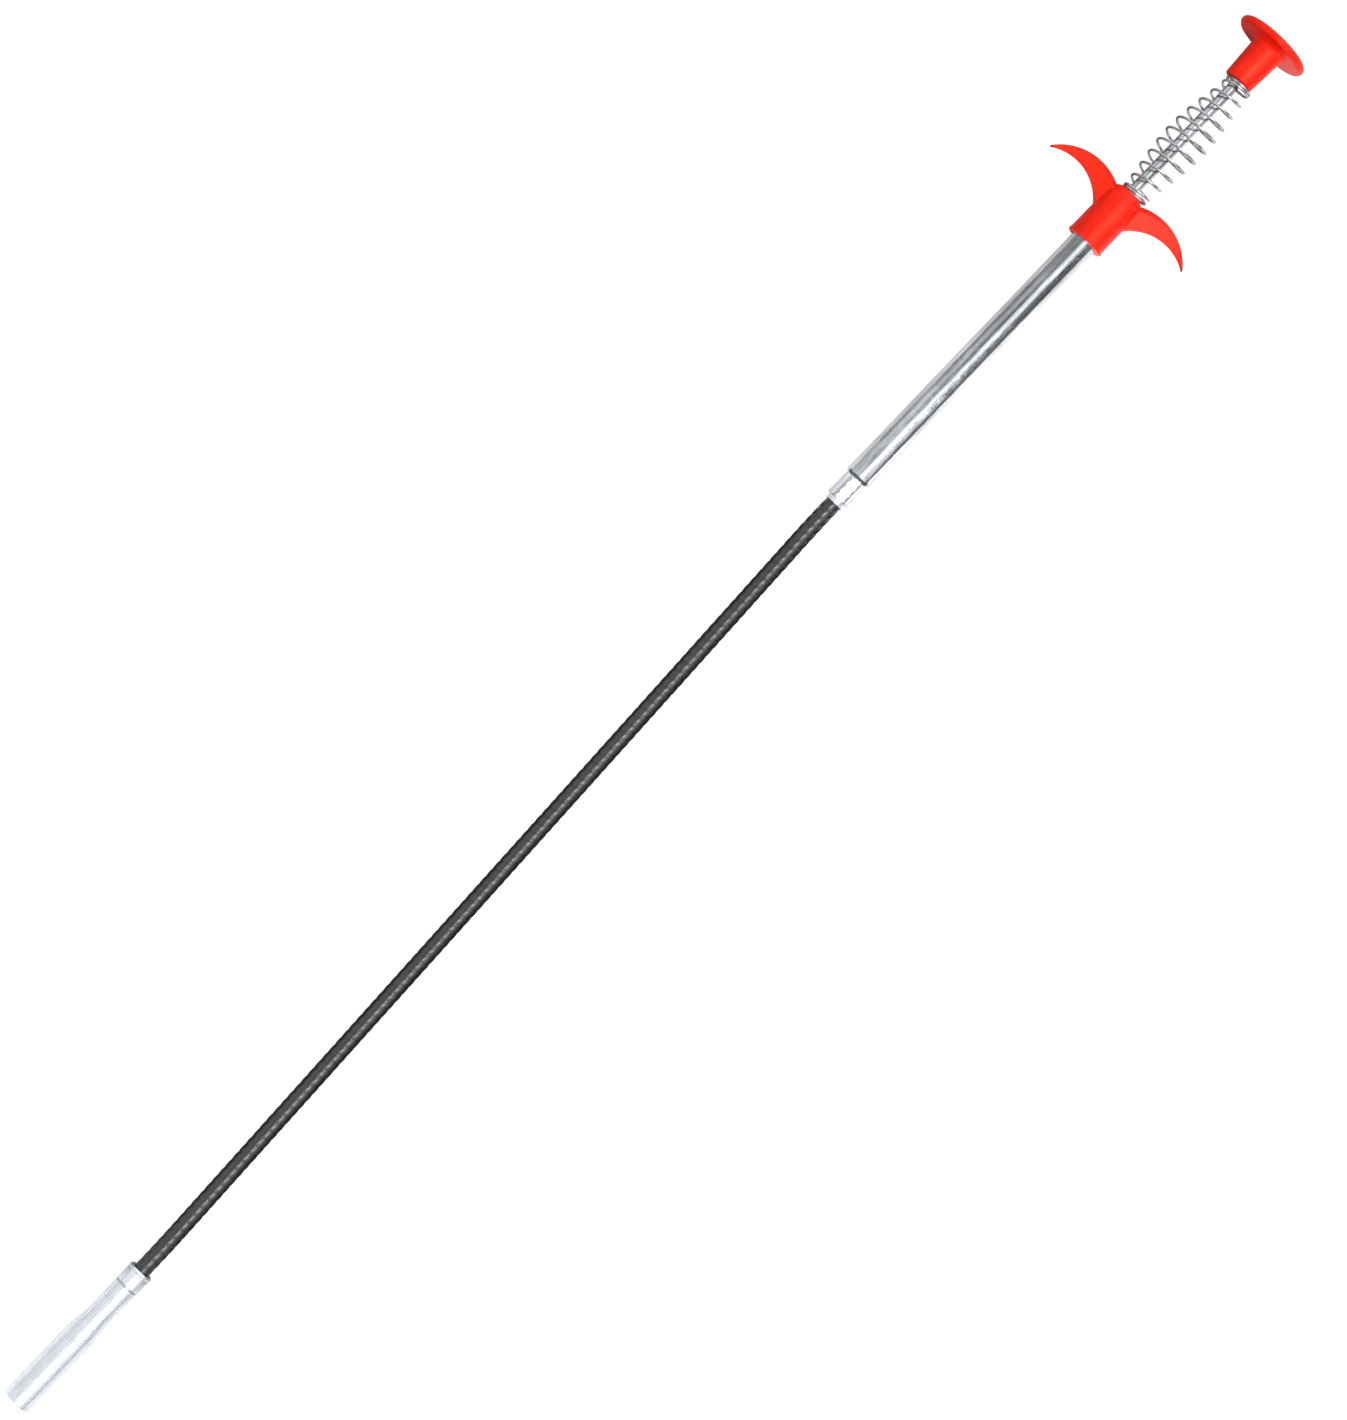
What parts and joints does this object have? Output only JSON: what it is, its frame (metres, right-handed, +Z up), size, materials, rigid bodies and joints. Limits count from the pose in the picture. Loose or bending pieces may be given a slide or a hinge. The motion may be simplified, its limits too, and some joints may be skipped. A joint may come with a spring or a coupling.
{
  "type": "drain auger",
  "caption": "Flexible drain auger: a sprung thumb plunger pushes a cable through a bendable shaft and opens a claw at the far end.",
  "frame": {"origin": "middle of the length and width, on the surface that the tool lies on", "axes": "+X along the handle towards the thumb button, +Y along one finger horn, +Z up"},
  "size_m": [0.61, 0.0598, 0.0272],
  "materials": {
    "red_plastic": "glossy moulded",
    "chromed_steel": "bright chrome plate",
    "zinc_plated_steel": "bright zinc plate",
    "black_sleeve": "satin, ribbed by the coil inside",
    "spring_steel": "oiled drawn wire",
    "bright_wire": "bright plated wire",
    "bright_rod": "bright plated",
    "plain_steel": "turned",
    "white_nylon": "moulded",
    "claw_steel": "bright rolled strip"
  },
  "bodies": {
    "handle": {"finger_grip": "red_plastic", "handle_tube": "chromed_steel", "rod_bush": "white_nylon", "shaft_ferrule": "zinc_plated_steel", "shaft_sleeve": "black_sleeve", "casing_coil": "spring_steel", "return_spring": "bright_wire"},
    "plunger": {"thumb_button": "red_plastic", "plunger_rod": "bright_rod", "stop_collar": "plain_steel", "rod_coupler": "plain_steel", "drive_cable": "spring_steel"},
    "tip": {"tip_ferrule": "zinc_plated_steel", "claw_guide": "zinc_plated_steel"},
    "claw_carrier": {"claw_block": "plain_steel", "claw_band": "plain_steel"},
    "claw_1": {"claw_1": "claw_steel"},
    "claw_2": {"claw_2": "claw_steel"},
    "claw_3": {"claw_3": "claw_steel"},
    "claw_4": {"claw_4": "claw_steel"}
  },
  "joints": [
    {"name": "plunge", "type": "slide", "parent": "handle", "child": "plunger", "axis": [-1, 0, 0], "range_m": [0, 0.018], "stiffness_N_per_m": 350, "springref_m": -0.012, "deforming": ["return_spring", "drive_cable", "claw_1", "claw_2", "claw_3", "claw_4"]},
    {"name": "shaft_flex", "type": "hinge", "parent": "handle", "child": "tip", "pos_m": [-0.0749, -0.0052, 0.0094], "axis": [0, 0, 1], "range_deg": [-45, 45], "stiffness_Nm_per_rad": 0.5, "deforming": ["shaft_sleeve", "casing_coil", "drive_cable"]},
    {"name": "carrier_slide", "type": "slide", "parent": "tip", "child": "claw_carrier", "axis": [-1, 0, 0], "range_m": [0, 0.018]},
    {"name": "claw_1_spread", "type": "hinge", "parent": "claw_carrier", "child": "claw_1", "pos_m": [-0.2852, -0.0089, 0.00575], "axis": [0, 0.342, -0.9397], "range_deg": [0, 38.1]},
    {"name": "claw_2_spread", "type": "hinge", "parent": "claw_carrier", "child": "claw_2", "pos_m": [-0.2852, -0.01095, 0.0067], "axis": [0, 0.9397, 0.342], "range_deg": [0, 38.1]},
    {"name": "claw_3_spread", "type": "hinge", "parent": "claw_carrier", "child": "claw_3", "pos_m": [-0.2852, -0.0119, 0.00465], "axis": [0, -0.342, 0.9397], "range_deg": [0, 38.1]},
    {"name": "claw_4_spread", "type": "hinge", "parent": "claw_carrier", "child": "claw_4", "pos_m": [-0.2852, -0.00985, 0.0037], "axis": [0, -0.9397, -0.342], "range_deg": [0, 38.1]}
  ],
  "couplings": [
    {"joint": "carrier_slide", "follows": "plunge", "ratio": 1},
    {"joint": "claw_1_spread", "follows": "plunge", "rad_per_m": 36.846},
    {"joint": "claw_2_spread", "follows": "plunge", "rad_per_m": 36.846},
    {"joint": "claw_3_spread", "follows": "plunge", "rad_per_m": 36.846},
    {"joint": "claw_4_spread", "follows": "plunge", "rad_per_m": 36.846}
  ]
}
